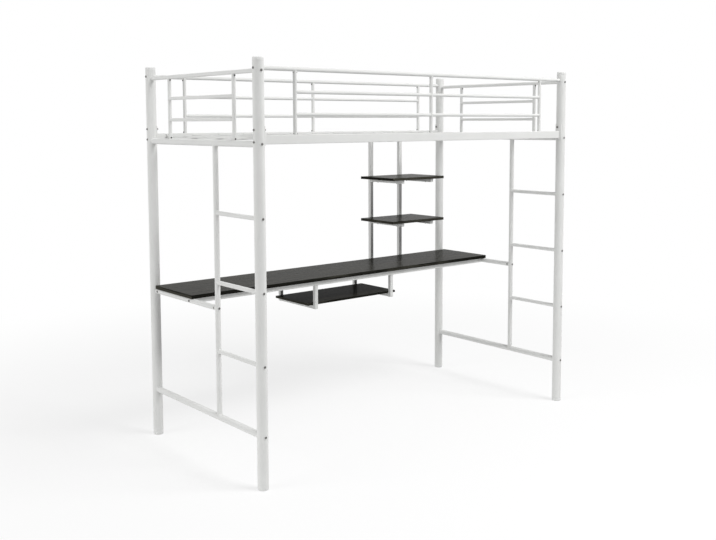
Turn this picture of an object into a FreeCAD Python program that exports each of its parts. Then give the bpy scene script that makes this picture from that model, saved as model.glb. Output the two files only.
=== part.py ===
import FreeCAD, Part
import math
import os
import Sketcher
from FreeCAD import Placement, Rotation, Vector

# A white metal loft bed over a long desk, with a ladder in each end frame, two small shelves and a
# keyboard tray. The origin is on the floor at the middle, +X runs along the bed, +Y to the desk side and
# +Z up, in millimetres.

SIZES = {
    # posts and their plastic caps
    "post_span_x": 2040,
    "post_span_y": 966,
    "frame_height": 1885,
    "post_dia": 50,
    "post_wall": 1.5,
    "top_cap_rim": 16,
    "foot_cap_rim": 22,
    "cap_plug_len": 20,
    "cap_edge": 3,
    "plug_clearance": 0.2,
    # side rails of the bed and the saddle plates that hold them to the posts
    "side_rail_drop": 351,
    "side_rail_tall": 40,
    "side_rail_wide": 20,
    "side_rail_wall": 1.5,
    "side_rail_corner": 3,
    "saddle_thick": 3,
    "saddle_tall": 84,
    "saddle_wide": 40,
    "saddle_rise": 16,
    "saddle_bolt_pitch": 52,
    # round rails across the ends
    "end_bed_rail_drop": 369,
    "bottom_rail_z": 239,
    "end_rail_dia": 30,
    "end_rail_wall": 1.5,
    # guards
    "side_top_rail_drop": 47,
    "end_top_rail_drop": 57,
    "guard_rail_dia": 19,
    "guard_rail_wall": 1.2,
    "guard_post_dia": 18,
    "guard_post_wall": 1.2,
    "guard_bar_dia": 16,
    "guard_bar_wall": 1.2,
    "side_guard_margin": 191,
    "side_bar_pitch": 98,
    "end_guard_margin": 193,
    "end_bar_pitch": 103,
    "peg_len": 14,
    "guard_screw_edge": 4.5,
    # ladders
    "stile_forward": 127,
    "stile_dia": 25.4,
    "stile_wall": 1.5,
    "rung_dia": 20,
    "rung_wall": 1.5,
    "first_rung_z": 552,
    "rung_pitch": 322,
    # desk
    "desk_bar_z": 753.5,
    "desk_bar_dia": 25,
    "desk_bar_wall": 1.5,
    "desk_rail_size": 25,
    "desk_rail_wall": 1.5,
    "desk_rail_corner": 2.5,
    "desk_rail_cope": 4,
    "desk_rail_inset": 30,
    "desk_overhang": 15,
    "desk_depth": 363,
    "desk_thick": 18,
    "board_gap": 0.5,
    "board_edge": 1,
    # shelves on their two uprights
    "upright_size": 22,
    "upright_wall": 1.5,
    "upright_corner": 2,
    "upright_spacing": 233.5,
    "upright_clearance": 2,
    "upright_bolt_edge": 7.5,
    "shelf_from_right": 486,
    "shelf_length": 410,
    "shelf_depth": 288,
    "shelf_thick": 15,
    "shelf_pitch": 250.5,
    "arm_size": 20,
    "arm_wall": 1.5,
    "arm_corner": 2,
    "arm_inset": 12,
    # keyboard tray and its hangers
    "tray_length": 625,
    "tray_thick": 12,
    "tray_drop": 107.5,
    "hanger_spacing": 538,
    "hanger_size": 20,
    "hanger_wall": 1.5,
    "hanger_corner": 2,
    # slats and their seats
    "slat_margin": 90,
    "slat_wide": 30,
    "slat_tall": 10,
    "slat_wall": 1.2,
    "slat_corner": 2,
    "slat_gap": 0.5,
    "seat_drop": 3,
    "seat_thick": 3,
    "seat_tall": 20,
    "seat_depth": 25,
    # bolts, nuts, plugs and screws
    "bolt_dia": 6,
    "bolt_head_dia": 11,
    "bolt_head_top_dia": 7,
    "bolt_head_tall": 3.5,
    "socket_dia": 4.6,
    "socket_depth": 2,
    "hole_clearance": 0.25,
    "thread_reach": 18,
    "end_plug_len": 22,
    "end_plug_setback": 1,
    "square_plug_len": 8,
    "nut_flats": 10,
    "nut_tall": 5,
    "bolt_stub": 2,
    "barrel_dia": 10,
    "barrel_inset": 5.5,
    "screw_dia": 4,
    "screw_head_dia": 7.5,
    "screw_head_top_dia": 5,
    "screw_head_tall": 2.5,
    "screw_socket_dia": 2.6,
    "screw_socket_depth": 1.4,
    "screw_bite": 8,
    "slat_screw_stub": 3,
    "cut_overrun": 5,
}

RUNG_COUNT = 3
SLAT_COUNT = 13
BARS_PER_GUARD = 2
SHELF_COUNT = 2
HEX_SIDES = 6
DESK_SCREW_SHARES = (-0.42, -0.24, 0.24, 0.42)
ARM_SCREW_SHARES = (0.2, 0.8)
TRAY_SCREW_SHARES = (-0.3, 0.3)

ENDS = (("left", -1), ("right", 1))
SIDES = (("front", -1), ("back", 1))
TURNS = {
    "+x": Rotation(Vector(0, 1, 0), 90),
    "-x": Rotation(Vector(0, 1, 0), -90),
    "+y": Rotation(Vector(1, 0, 0), -90),
    "-y": Rotation(Vector(1, 0, 0), 90),
    "+z": Rotation(),
    "-z": Rotation(Vector(1, 0, 0), 180),
    "half": Rotation(Vector(0, 0, 1), 180),
}

doc = FreeCAD.newDocument("loft_bed")
sheet = doc.addObject("Spreadsheet::Sheet", "Sizes")
for row, (alias, number) in enumerate(SIZES.items(), start=1):
    sheet.set(f"A{row}", alias)
    sheet.set(f"B{row}", str(number))
    sheet.setAlias(f"B{row}", alias)
doc.recompute()

# Places that several pieces share, each written from the sheet's sizes.
END_X = {end: f"{sign} * Sizes.post_span_x / 2" for end, sign in ENDS}
SIDE_Y = {side: f"{sign} * Sizes.post_span_y / 2" for side, sign in SIDES}
SPAN_X = "Sizes.post_span_x"
SPAN_Y = "Sizes.post_span_y"
POST_RADIUS = "Sizes.post_dia / 2"
POST_LENGTH = "Sizes.frame_height - Sizes.foot_cap_rim - Sizes.top_cap_rim"
SIDE_RAIL_Z = "(Sizes.frame_height - Sizes.side_rail_drop)"
END_BED_Z = "(Sizes.frame_height - Sizes.end_bed_rail_drop)"
SIDE_TOP_Z = "(Sizes.frame_height - Sizes.side_top_rail_drop)"
END_TOP_Z = "(Sizes.frame_height - Sizes.end_top_rail_drop)"
SADDLE_Z = f"{SIDE_RAIL_Z} + Sizes.saddle_rise"
SADDLE_BOLT_Z = [f"{SADDLE_Z} + {sign} * Sizes.saddle_bolt_pitch / 2" for sign in (-1, 1)]
RAIL_TOP = f"{SIDE_RAIL_Z} + Sizes.side_rail_tall / 2"
RAIL_FACE = "Sizes.post_span_y / 2 - Sizes.side_rail_wide / 2"
STILE_Y = "-Sizes.stile_forward"
DESK_UNDER = "Sizes.desk_bar_z + Sizes.desk_bar_dia / 2"
DESK_RAIL_UNDER = f"{DESK_UNDER} - Sizes.desk_rail_size"
DESK_RAIL_Z = f"{DESK_UNDER} - Sizes.desk_rail_size / 2"
DESK_TOP = f"{DESK_UNDER} + Sizes.desk_thick"
UPRIGHT_FRONT = f"{RAIL_FACE} - Sizes.upright_size"
UPRIGHT_Y = f"{RAIL_FACE} - Sizes.upright_size / 2"
BOARD_BACK = f"{UPRIGHT_FRONT} - Sizes.board_gap"
DESK_FRONT = f"{BOARD_BACK} - Sizes.desk_depth"
FRONT_RAIL_Y = f"{DESK_FRONT} + Sizes.desk_rail_inset"
BACK_RAIL_Y = f"{UPRIGHT_FRONT} - Sizes.desk_rail_size / 2"
SEAT_UNDER = f"{SIDE_RAIL_Z} - Sizes.seat_drop"
UPRIGHT_TOP = f"{SEAT_UNDER} - Sizes.upright_clearance"
TRAY_UNDER = f"{DESK_RAIL_UNDER} - Sizes.tray_drop"
HANGER_UNDER = f"{TRAY_UNDER} - Sizes.hanger_size"
BOLT_HOLE = "Sizes.bolt_dia + 2 * Sizes.hole_clearance"
SCREW_HOLE = "Sizes.screw_dia + 2 * Sizes.hole_clearance"
OVERRUN = "Sizes.cut_overrun"
DESK_BAR_REACH = f"Sizes.post_span_y / 2 - {POST_RADIUS} - ({BACK_RAIL_Y}) - Sizes.bolt_dia"
GUARD_BAY = f"({SPAN_X} / 2 - Sizes.side_guard_margin)"
END_GUARD_SPAN = f"({SPAN_Y} - 2 * Sizes.end_guard_margin)"
SLAT_SPAN = f"({SPAN_X} - 2 * Sizes.slat_margin)"
DESK_LENGTH = f"({SPAN_X} + 2 * Sizes.desk_overhang)"
SHELF_X = f"({END_X['right']} - Sizes.shelf_from_right)"
UPRIGHT_X = {end: f"{SHELF_X} + {sign} * Sizes.upright_spacing / 2" for end, sign in ENDS}
HANGER_X = {end: f"{sign} * Sizes.hanger_spacing / 2" for end, sign in ENDS}
RUNG_Z = [f"Sizes.first_rung_z + {step} * Sizes.rung_pitch" for step in range(RUNG_COUNT)]
SHELF_TOP = [f"{DESK_TOP} + {step + 1} * Sizes.shelf_pitch" for step in range(SHELF_COUNT)]

nodes = []


def value(expression):
    """Number that an expression gives with the sheet's present sizes."""
    return float(sheet.evalExpression(expression))


def place(item, turn, spot):
    """Turn a piece and bind its position to the sheet."""
    item.Placement = Placement(Vector(), TURNS[turn])
    for axis, expression in zip("xyz", spot):
        item.setExpression(f"Placement.Base.{axis}", expression)
    return item


def rod(name, turn, spot, length, dia):
    """Round bar that starts at a spot and runs in the given direction."""
    item = doc.addObject("Part::Cylinder", name)
    item.setExpression("Radius", f"({dia}) / 2")
    item.setExpression("Height", length)
    return place(item, turn, spot)


def through(name, turn, spot, span, dia):
    """Round cutter centred on a spot, longer than the span it crosses by the overrun at both ends."""
    axis = "xyz".index(turn[1])
    start = list(spot)
    start[axis] = f"{spot[axis]} - ({span}) / 2 - {OVERRUN}"
    return rod(name, turn, start, f"{span} + 2 * {OVERRUN}", dia)


def block(name, low, size):
    """Box from its low corner."""
    item = doc.addObject("Part::Box", name)
    for prop, expression in zip(("Length", "Width", "Height"), size):
        item.setExpression(prop, expression)
    return place(item, "+z", low)


def group(name, items):
    """Separate solids kept together as one piece."""
    item = doc.addObject("Part::Compound", name)
    item.Links = list(items)
    return item


def cut(name, base, tools):
    """Take each tool away from the base in turn."""
    for number, tool in enumerate(tools):
        last = number == len(tools) - 1
        step = doc.addObject("Part::Cut", name if last else f"{name}_step_{number}")
        step.Base = base
        step.Tool = tool
        base = step
    return base


def tube(name, turn, spot, length, dia, wall, tools=()):
    """Round tube, with its ends coped and its holes drilled by the tools."""
    outer = rod(f"{name}_outer", turn, spot, length, dia)
    bore = rod(f"{name}_bore", turn, spot, length, f"{dia} - 2 * {wall}")
    return cut(name, outer, [bore, *tools])


def sketch_on_floor(body, name):
    """Sketch on the body's own XY plane."""
    sketch = body.newObject("Sketcher::SketchObject", name)
    plane = [item for item in body.Origin.OriginFeatures if item.Role == "XY_Plane"][0]
    sketch.AttachmentSupport = [(plane, "")]
    sketch.MapMode = "FlatFace"
    return sketch


def dimension(sketch, name, constraint, expression):
    """Named dimension of a sketch, bound to the sheet."""
    index = sketch.addConstraint(constraint)
    sketch.renameConstraint(index, name)
    sketch.setExpression(f"Constraints.{name}", expression)


def rounded_outline(sketch, tag, wide, tall, corner):
    """Rectangle with round corners, centred on the sketch's origin."""
    first = len(sketch.Geometry)
    half_x = value(wide) / 2
    half_y = value(tall) / 2
    radius = value(corner)
    quarter = math.pi / 2
    signs = ((1, -1), (1, 1), (-1, 1), (-1, -1))
    for number, (sx, sy) in enumerate(signs):
        centre = Vector(sx * (half_x - radius), sy * (half_y - radius))
        before = signs[number - 1]
        old = Vector(before[0] * (half_x - radius), before[1] * (half_y - radius))
        angle = (number - 1) * quarter
        out = Vector(math.cos(angle), math.sin(angle)) * radius
        sketch.addGeometry(Part.LineSegment(old + out, centre + out))
        circle = Part.Circle(centre, Vector(0, 0, 1), radius)
        sketch.addGeometry(Part.ArcOfCircle(circle, angle, angle + quarter))
    lines = [first + 2 * number for number in range(len(signs))]
    arcs = [line + 1 for line in lines]
    for number in range(2 * len(signs)):
        after = (number + 1) % (2 * len(signs))
        sketch.addConstraint(Sketcher.Constraint("Tangent", first + number, 2, first + after, 1))
    for line in lines[::2]:
        sketch.addConstraint(Sketcher.Constraint("Horizontal", line))
    for line in lines[1::2]:
        sketch.addConstraint(Sketcher.Constraint("Vertical", line))
    for arc in arcs[1:]:
        sketch.addConstraint(Sketcher.Constraint("Equal", arcs[0], arc))
    sketch.addConstraint(Sketcher.Constraint("Symmetric", lines[0], 1, lines[2], 1, -1, 1))
    across = Sketcher.Constraint("DistanceX", lines[3], 1, lines[1], 1, 2 * half_x)
    dimension(sketch, f"{tag}_wide", across, wide)
    upright = Sketcher.Constraint("DistanceY", lines[0], 1, lines[2], 1, 2 * half_y)
    dimension(sketch, f"{tag}_tall", upright, tall)
    dimension(sketch, f"{tag}_corner", Sketcher.Constraint("Radius", arcs[0], radius), corner)


def box_tube(name, turn, spot, length, wide, tall, wall, corner):
    """Rectangular tube with round corners, padded from its centred profile."""
    body = doc.addObject("PartDesign::Body", name)
    sketch = sketch_on_floor(body, f"{name}_profile")
    rounded_outline(sketch, "outer", wide, tall, corner)
    rounded_outline(sketch, "inner", f"{wide} - 2 * {wall}", f"{tall} - 2 * {wall}", f"{corner} - {wall}")
    pad = body.newObject("PartDesign::Pad", f"{name}_pad")
    pad.Profile = sketch
    pad.setExpression("Length", length)
    return place(body, turn, spot)


def board(name, spot, length, depth, thick):
    """Flat board with eased edges, centred on its spot, which lies in its underside."""
    body = doc.addObject("PartDesign::Body", name)
    sketch = sketch_on_floor(body, f"{name}_outline")
    half_x = value(length) / 2
    half_y = value(depth) / 2
    corners = [Vector(sx * half_x, sy * half_y) for sx, sy in ((-1, -1), (1, -1), (1, 1), (-1, 1))]
    count = len(corners)
    for number in range(count):
        sketch.addGeometry(Part.LineSegment(corners[number], corners[(number + 1) % count]))
    for number in range(count):
        sketch.addConstraint(Sketcher.Constraint("Coincident", number, 2, (number + 1) % count, 1))
        way = ("Horizontal", "Vertical")[number % 2]
        sketch.addConstraint(Sketcher.Constraint(way, number))
    sketch.addConstraint(Sketcher.Constraint("Symmetric", 0, 1, 2, 1, -1, 1))
    dimension(sketch, "length", Sketcher.Constraint("DistanceX", 0, 1, 0, 2, 2 * half_x), length)
    dimension(sketch, "depth", Sketcher.Constraint("DistanceY", 1, 1, 1, 2, 2 * half_y), depth)
    pad = body.newObject("PartDesign::Pad", f"{name}_pad")
    pad.Profile = sketch
    pad.setExpression("Length", thick)
    doc.recompute()
    easing = body.newObject("PartDesign::Fillet", f"{name}_easing")
    easing.Base = (pad, ["Edge1"])
    easing.UseAllEdges = True
    easing.setExpression("Radius", "Sizes.board_edge")
    return place(body, "+z", spot)


def cap(name, rim):
    """Plastic cap: a rim as wide as the post, with an eased outer edge, over a plug."""
    body = doc.addObject("PartDesign::Body", name)
    plug_dia = "Sizes.post_dia - 2 * Sizes.post_wall - 2 * Sizes.plug_clearance"
    pads = []
    for part, dia, length in (("rim", "Sizes.post_dia", rim), ("plug", plug_dia, "Sizes.cap_plug_len")):
        sketch = sketch_on_floor(body, f"{name}_{part}_circle")
        radius = value(dia) / 2
        sketch.addGeometry(Part.Circle(Vector(), Vector(0, 0, 1), radius))
        sketch.addConstraint(Sketcher.Constraint("Coincident", 0, 3, -1, 1))
        dimension(sketch, "dia", Sketcher.Constraint("Diameter", 0, 2 * radius), dia)
        pad = body.newObject("PartDesign::Pad", f"{name}_{part}")
        pad.Profile = sketch
        pad.Reversed = part == "plug"
        pad.setExpression("Length", length)
        pads.append(pad)
    doc.recompute()
    heights = [edge.BoundBox.ZMin for edge in pads[-1].Shape.Edges]
    easing = body.newObject("PartDesign::Fillet", f"{name}_easing")
    easing.Base = (pads[-1], [f"Edge{heights.index(max(heights)) + 1}"])
    easing.setExpression("Radius", "Sizes.cap_edge")
    return body


def fastener(name, kind, length):
    """Round-headed fastener with a hex socket; its shank runs up from the seat and its head lies below."""
    shank = rod(f"{name}_shank", "+z", ("0", "0", "0"), length, f"Sizes.{kind}_dia")
    head = doc.addObject("Part::Cone", f"{name}_head")
    head.setExpression("Radius1", f"Sizes.{kind}_head_top_dia / 2")
    head.setExpression("Radius2", f"Sizes.{kind}_head_dia / 2")
    head.setExpression("Height", f"Sizes.{kind}_head_tall")
    place(head, "+z", ("0", "0", f"-Sizes.{kind}_head_tall"))
    blank = doc.addObject("Part::Fuse", f"{name}_blank")
    blank.Base = head
    blank.Tool = shank
    prefix = "" if kind == "bolt" else f"{kind}_"
    socket = doc.addObject("Part::Prism", f"{name}_socket")
    socket.Polygon = HEX_SIDES
    socket.setExpression("Circumradius", f"Sizes.{prefix}socket_dia / 2")
    socket.setExpression("Height", f"Sizes.{prefix}socket_depth + {OVERRUN}")
    place(socket, "+z", ("0", "0", f"-Sizes.{kind}_head_tall - {OVERRUN}"))
    return cut(name, blank, [socket])


def end_plug(name, dia, length):
    """Threaded plug that fills a round tube's end."""
    fit = f"{dia} - 2 * Sizes.plug_clearance"
    return tube(name, "+z", ("0", "0", "0"), length, fit, f"(({fit}) - ({BOLT_HOLE})) / 2")


def square_plug(name, turn, spot, size, wall, length, tools=()):
    """Block that fills a square tube's end, centred on its spot and running in the given direction."""
    fit = f"{size} - 2 * {wall} - 2 * Sizes.plug_clearance"
    axis = "xyz".index(turn[1])
    low = [f"{middle} - ({fit}) / 2" for middle in spot]
    low[axis] = spot[axis] if turn[0] == "+" else f"{spot[axis]} - {length}"
    extent = [fit, fit, fit]
    extent[axis] = length
    return cut(name, block(f"{name}_block", low, extent), tools) if tools else block(name, low, extent)


def links_of(name, master, places):
    """The same piece at many places."""
    links = []
    for number, (turn, *spot) in enumerate(places, start=1):
        link = doc.addObject("App::Link", f"{name}_{number}")
        link.LinkedObject = master
        links.append(place(link, turn, spot))
    return links


def copies(name, master, places):
    """One node made of the same piece at many places."""
    nodes.append(group(name, links_of(name, master, places)))


def node(item):
    """Keep a finished piece for export."""
    nodes.append(item)
    return item


# Full-length solid outlines of the main tubes, which cope whatever is welded or bolted against them.
post_solid = {}
for side, side_sign in SIDES:
    for end, end_sign in ENDS:
        spot = (END_X[end], SIDE_Y[side], "Sizes.foot_cap_rim")
        post_solid[side, end] = rod(f"outline_post_{side}_{end}", "+z", spot, POST_LENGTH, "Sizes.post_dia")
end_posts = {end: group(f"end_posts_{end}", [post_solid[s, end] for s, _ in SIDES]) for end, _ in ENDS}
side_posts = {side: group(f"side_posts_{side}", [post_solid[side, e] for e, _ in ENDS])
              for side, _ in SIDES}

END_RAILS = {
    "end_top_rail": (END_TOP_Z, "Sizes.guard_rail_dia", "Sizes.guard_rail_wall"),
    "end_bed_rail": (END_BED_Z, "Sizes.end_rail_dia", "Sizes.end_rail_wall"),
    "bottom_rail": ("Sizes.bottom_rail_z", "Sizes.end_rail_dia", "Sizes.end_rail_wall"),
}
end_rail_solid = {}
stile_solid = {}
desk_bar_solid = {}
for end, end_sign in ENDS:
    for rail, (height, dia, wall) in END_RAILS.items():
        spot = (END_X[end], SIDE_Y["front"], height)
        end_rail_solid[rail, end] = rod(f"outline_{rail}_{end}", "+y", spot, SPAN_Y, dia)
    spot = (END_X[end], STILE_Y, "Sizes.bottom_rail_z")
    stile_length = f"{END_BED_Z} - Sizes.bottom_rail_z"
    stile_solid[end] = rod(f"outline_stile_{end}", "+z", spot, stile_length, "Sizes.stile_dia")
    spot = (END_X[end], STILE_Y, "Sizes.desk_bar_z")
    bar_length = "Sizes.stile_forward + Sizes.post_span_y / 2"
    desk_bar_solid[end] = rod(f"outline_desk_bar_{end}", "+y", spot, bar_length, "Sizes.desk_bar_dia")
top_rail_solid = {}
for side, side_sign in SIDES:
    spot = (END_X["left"], SIDE_Y[side], SIDE_TOP_Z)
    top_rail_solid[side] = rod(f"outline_top_rail_{side}", "+x", spot, SPAN_X, "Sizes.guard_rail_dia")

# Posts, drilled along X for the side rails and guard rails, and along Y for the end rails, rungs and desk
# bars.
bolt_x_z = [SIDE_TOP_Z, *SADDLE_BOLT_Z]
bolt_y_z = [END_TOP_Z, END_BED_Z, "Sizes.bottom_rail_z"]
extra_y_z = {"front": RUNG_Z, "back": ["Sizes.desk_bar_z"]}
holes_x = {}
post_bolt_places = []
desk_bar_bolt_places = []
saddle_bolt_places = []
for side, side_sign in SIDES:
    for end, end_sign in ENDS:
        name = f"post_{side}_{end}"
        x = END_X[end]
        y = SIDE_Y[side]
        spot = (x, y, "Sizes.foot_cap_rim")
        bore = rod(f"{name}_bore", "+z", spot, POST_LENGTH, "Sizes.post_dia - 2 * Sizes.post_wall")
        drills_x = []
        for number, z in enumerate(bolt_x_z):
            drills_x.append(through(f"{name}_hole_x{number}", "+x", (x, y, z), "2 * Sizes.post_dia",
                                    BOLT_HOLE))
        drills_y = []
        for number, z in enumerate(bolt_y_z + extra_y_z[side]):
            drills_y.append(through(f"{name}_hole_y{number}", "+y", (x, y, z), "Sizes.post_dia", BOLT_HOLE))
            seat_y = f"{y} + {side_sign} * {POST_RADIUS}"
            places = desk_bar_bolt_places if z == "Sizes.desk_bar_z" else post_bolt_places
            places.append(("+y" if side_sign < 0 else "-y", x, seat_y, z))
        seat_x = f"{x} + {end_sign} * {POST_RADIUS}"
        inward = "+x" if end_sign < 0 else "-x"
        post_bolt_places.append((inward, seat_x, y, SIDE_TOP_Z))
        saddle_bolt_places += [(inward, seat_x, y, z) for z in SADDLE_BOLT_Z]
        holes_x[side, end] = group(f"{name}_holes_x", drills_x)
        holes_y = group(f"{name}_holes_y", drills_y)
        node(cut(name, post_solid[side, end], [bore, holes_x[side, end], holes_y]))

# Plastic caps on top of the posts and under them.
cap_spots = [(END_X[end], SIDE_Y[side]) for side, _ in SIDES for end, _ in ENDS]
top_cap_z = "Sizes.frame_height - Sizes.top_cap_rim"
copies("top_caps", cap("top_cap_master", "Sizes.top_cap_rim"),
       [("+z", x, y, top_cap_z) for x, y in cap_spots])
foot_places = [("-z", x, y, "Sizes.foot_cap_rim") for x, y in cap_spots]
copies("foot_caps", cap("foot_cap_master", "Sizes.foot_cap_rim"), foot_places)

# Side rails with a saddle plate at each end that hugs the post.
saddle_nut_places = []
upright_drills = []
for end, _ in ENDS:
    top_bolt_z = f"{UPRIGHT_TOP} - Sizes.upright_bolt_edge"
    spot = (UPRIGHT_X[end], "Sizes.post_span_y / 2", top_bolt_z)
    upright_drills.append(through(f"rail_drill_{end}", "+y", spot, "Sizes.side_rail_wide", BOLT_HOLE))
for side, side_sign in SIDES:
    y = SIDE_Y[side]
    name = f"side_rail_{side}"
    spot = (END_X["left"], y, SIDE_RAIL_Z)
    stock = box_tube(f"{name}_stock", "+x", spot, SPAN_X, "Sizes.side_rail_tall", "Sizes.side_rail_wide",
                     "Sizes.side_rail_wall", "Sizes.side_rail_corner")
    plates = []
    collars = []
    for end, end_sign in ENDS:
        collar_dia = "Sizes.post_dia + 2 * Sizes.saddle_thick"
        base_z = f"{SADDLE_Z} - Sizes.saddle_tall / 2"
        spot = (END_X[end], y, base_z)
        collar = rod(f"{name}_collar_{end}", "+z", spot, "Sizes.saddle_tall", collar_dia)
        collars.append(rod(f"{name}_cope_{end}", "+z", (END_X[end], y, "0"), "Sizes.frame_height",
                           collar_dia))
        shell = cut(f"{name}_shell_{end}", collar, [post_solid[side, end]])
        low_x = END_X[end] if end_sign < 0 else f"{END_X[end]} - Sizes.post_dia"
        low = (low_x, f"{y} - Sizes.saddle_wide / 2", base_z)
        window = block(f"{name}_window_{end}", low,
                       ("Sizes.post_dia", "Sizes.saddle_wide", "Sizes.saddle_tall"))
        plate = doc.addObject("Part::Common", f"{name}_plate_{end}")
        plate.Base = shell
        plate.Tool = window
        plates.append(cut(f"{name}_saddle_{end}", plate, [holes_x[side, end]]))
        nut_x = f"{END_X[end]} - {end_sign} * ({POST_RADIUS} + Sizes.saddle_thick)"
        saddle_nut_places += [("+x" if end_sign < 0 else "-x", nut_x, y, z) for z in SADDLE_BOLT_Z]
    tools = [group(f"{name}_copes", collars)]
    if side == "back":
        tools.append(group(f"{name}_drills", upright_drills))
    rail = cut(f"{name}_tube", stock, tools)
    node(group(name, [rail, *plates]))

# Top rails of the guards, along the sides.
top_plug_places = []
for side, side_sign in SIDES:
    spot = (END_X["left"], SIDE_Y[side], SIDE_TOP_Z)
    node(tube(f"guard_top_rail_{side}", "+x", spot, SPAN_X, "Sizes.guard_rail_dia", "Sizes.guard_rail_wall",
              [side_posts[side]]))
    for end, end_sign in ENDS:
        plug_x = f"{END_X[end]} - {end_sign} * ({POST_RADIUS} + Sizes.end_plug_setback)"
        turn = "+x" if end_sign < 0 else "-x"
        top_plug_places.append((turn, plug_x, SIDE_Y[side], SIDE_TOP_Z))

# Round rails across each end: guard top rail, bed rail and bottom rail.
end_plug_places = []
for end, end_sign in ENDS:
    for rail, (height, dia, wall) in END_RAILS.items():
        spot = (END_X[end], SIDE_Y["front"], height)
        node(tube(f"{rail}_{end}", "+y", spot, SPAN_Y, dia, wall, [end_posts[end]]))
        for side, side_sign in SIDES:
            plug_y = f"{SIDE_Y[side]} - {side_sign} * ({POST_RADIUS} + Sizes.end_plug_setback)"
            seat = ("+y" if side_sign < 0 else "-y", END_X[end], plug_y, height)
            (top_plug_places if rail == "end_top_rail" else end_plug_places).append(seat)

# Guard panels: upright tubes with two welded bars between them. Pegs on the rails hold the uprights, and a
# screw in the plane of the panel goes right through each upright and its peg.
PEG_DIA = "Sizes.guard_post_dia - 2 * Sizes.guard_post_wall - 2 * Sizes.plug_clearance"
pegs = []
guard_screw_places = []


def guard_upright(name, x, y, low, high, low_face, high_face, turn, rails, seat):
    """Upright from one rail to another with its two pegs and screws; returns it with its solid outline."""
    length = f"{high} - ({low})"
    outline = rod(f"{name}_outline", "+z", (x, y, low), length, "Sizes.guard_post_dia")
    drills = []
    for number, z in enumerate((f"{low_face} + Sizes.guard_screw_edge",
                                f"{high_face} - Sizes.guard_screw_edge")):
        drills.append(through(f"{name}_drill_{number}", turn, (x, y, z), "Sizes.guard_post_dia",
                              SCREW_HOLE))
        guard_screw_places.append((*seat, z))
    holes = group(f"{name}_holes", drills)
    shape = tube(name, "+z", (x, y, low), length, "Sizes.guard_post_dia", "Sizes.guard_post_wall",
                 [*rails, holes])
    low_peg = rod(f"{name}_low_peg_stock", "+z", (x, y, low), f"{low_face} - ({low}) + Sizes.peg_len",
                  PEG_DIA)
    pegs.append(cut(f"{name}_low_peg", low_peg, [*rails, holes]))
    drop = f"{high} - ({high_face}) + Sizes.peg_len"
    high_peg = rod(f"{name}_high_peg_stock", "-z", (x, y, high), drop, PEG_DIA)
    pegs.append(cut(f"{name}_high_peg", high_peg, [*rails, holes]))
    return shape, outline


for side, side_sign in SIDES:
    y = SIDE_Y[side]
    name = f"guard_panel_{side}"
    posts = []
    outlines = []
    high_face = f"{SIDE_TOP_Z} - Sizes.guard_rail_dia / 2"
    screw_turn = "+x" if side_sign > 0 else "-x"
    for number in (-1, 0, 1):
        x = f"{number} * {GUARD_BAY}"
        seat = (screw_turn, f"{x} - {side_sign} * Sizes.guard_post_dia / 2", y)
        post, outline = guard_upright(f"{name}_upright_{number + 2}", x, y, RAIL_TOP, SIDE_TOP_Z, RAIL_TOP,
                                      high_face, "+x", [top_rail_solid[side]], seat)
        posts.append(post)
        outlines.append(outline)
    cope = group(f"{name}_cope", outlines)
    bars = []
    for number in range(BARS_PER_GUARD):
        z = f"{SIDE_TOP_Z} - {number + 1} * Sizes.side_bar_pitch"
        for bay in (-1, 0):
            spot = (f"{bay} * {GUARD_BAY}", y, z)
            bars.append(tube(f"{name}_bar_{number + 1}_{bay + 2}", "+x", spot, GUARD_BAY,
                             "Sizes.guard_bar_dia", "Sizes.guard_bar_wall", [cope]))
    node(group(name, posts + bars))

for end, end_sign in ENDS:
    x = END_X[end]
    name = f"end_guard_{end}"
    posts = []
    outlines = []
    low_face = f"{END_BED_Z} + Sizes.end_rail_dia / 2"
    high_face = f"{END_TOP_Z} - Sizes.guard_rail_dia / 2"
    rails = [end_rail_solid["end_bed_rail", end], end_rail_solid["end_top_rail", end]]
    for side, side_sign in SIDES:
        y = f"{side_sign} * {END_GUARD_SPAN} / 2"
        seat = ("+y", x, f"{y} - Sizes.guard_post_dia / 2")
        post, outline = guard_upright(f"{name}_upright_{side}", x, y, END_BED_Z, END_TOP_Z, low_face,
                                      high_face, "+y", rails, seat)
        posts.append(post)
        outlines.append(outline)
    cope = group(f"{name}_cope", outlines)
    bars = []
    for number in range(BARS_PER_GUARD):
        z = f"{END_TOP_Z} - {number + 1} * Sizes.end_bar_pitch"
        spot = (x, f"-{END_GUARD_SPAN} / 2", z)
        bars.append(tube(f"{name}_bar_{number + 1}", "+y", spot, END_GUARD_SPAN, "Sizes.guard_bar_dia",
                         "Sizes.guard_bar_wall", [cope]))
    node(group(name, posts + bars))
node(group("guard_pegs", pegs))

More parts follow.
